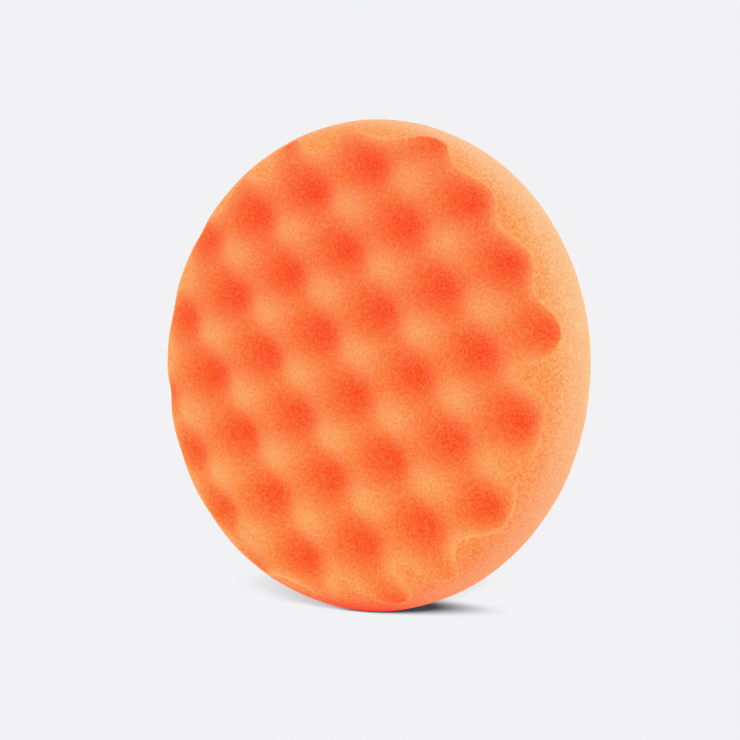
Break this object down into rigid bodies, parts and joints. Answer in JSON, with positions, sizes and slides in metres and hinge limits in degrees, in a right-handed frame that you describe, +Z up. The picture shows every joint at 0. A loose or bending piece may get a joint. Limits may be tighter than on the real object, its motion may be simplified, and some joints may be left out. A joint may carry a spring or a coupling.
{
  "type": "polishing pad",
  "caption": "Round foam polishing pad with a waffle working face, rounded side wall and a loop-fabric back that grips a hook-faced backing plate.",
  "frame": {"origin": "centre of the loop face at the tips of the pile, where the backing plate grips", "axes": "+Y is the pad's spin axis, out of the loop face towards the polisher, so the waffle face looks towards -Y; +Z is up for a pad stood on its rim; +X completes the right-handed frame"},
  "size_m": [0.15, 0.0322, 0.15],
  "materials": {
    "orange_foam": "matte",
    "hot_melt_film": "satin",
    "knit_ground": "matte",
    "loop_yarn": "matte"
  },
  "bodies": {
    "root": {"foam_body": "orange_foam", "adhesive_film": "hot_melt_film", "loop_base_cloth": "knit_ground", "loop_pile": "loop_yarn"}
  },
  "joints": []
}
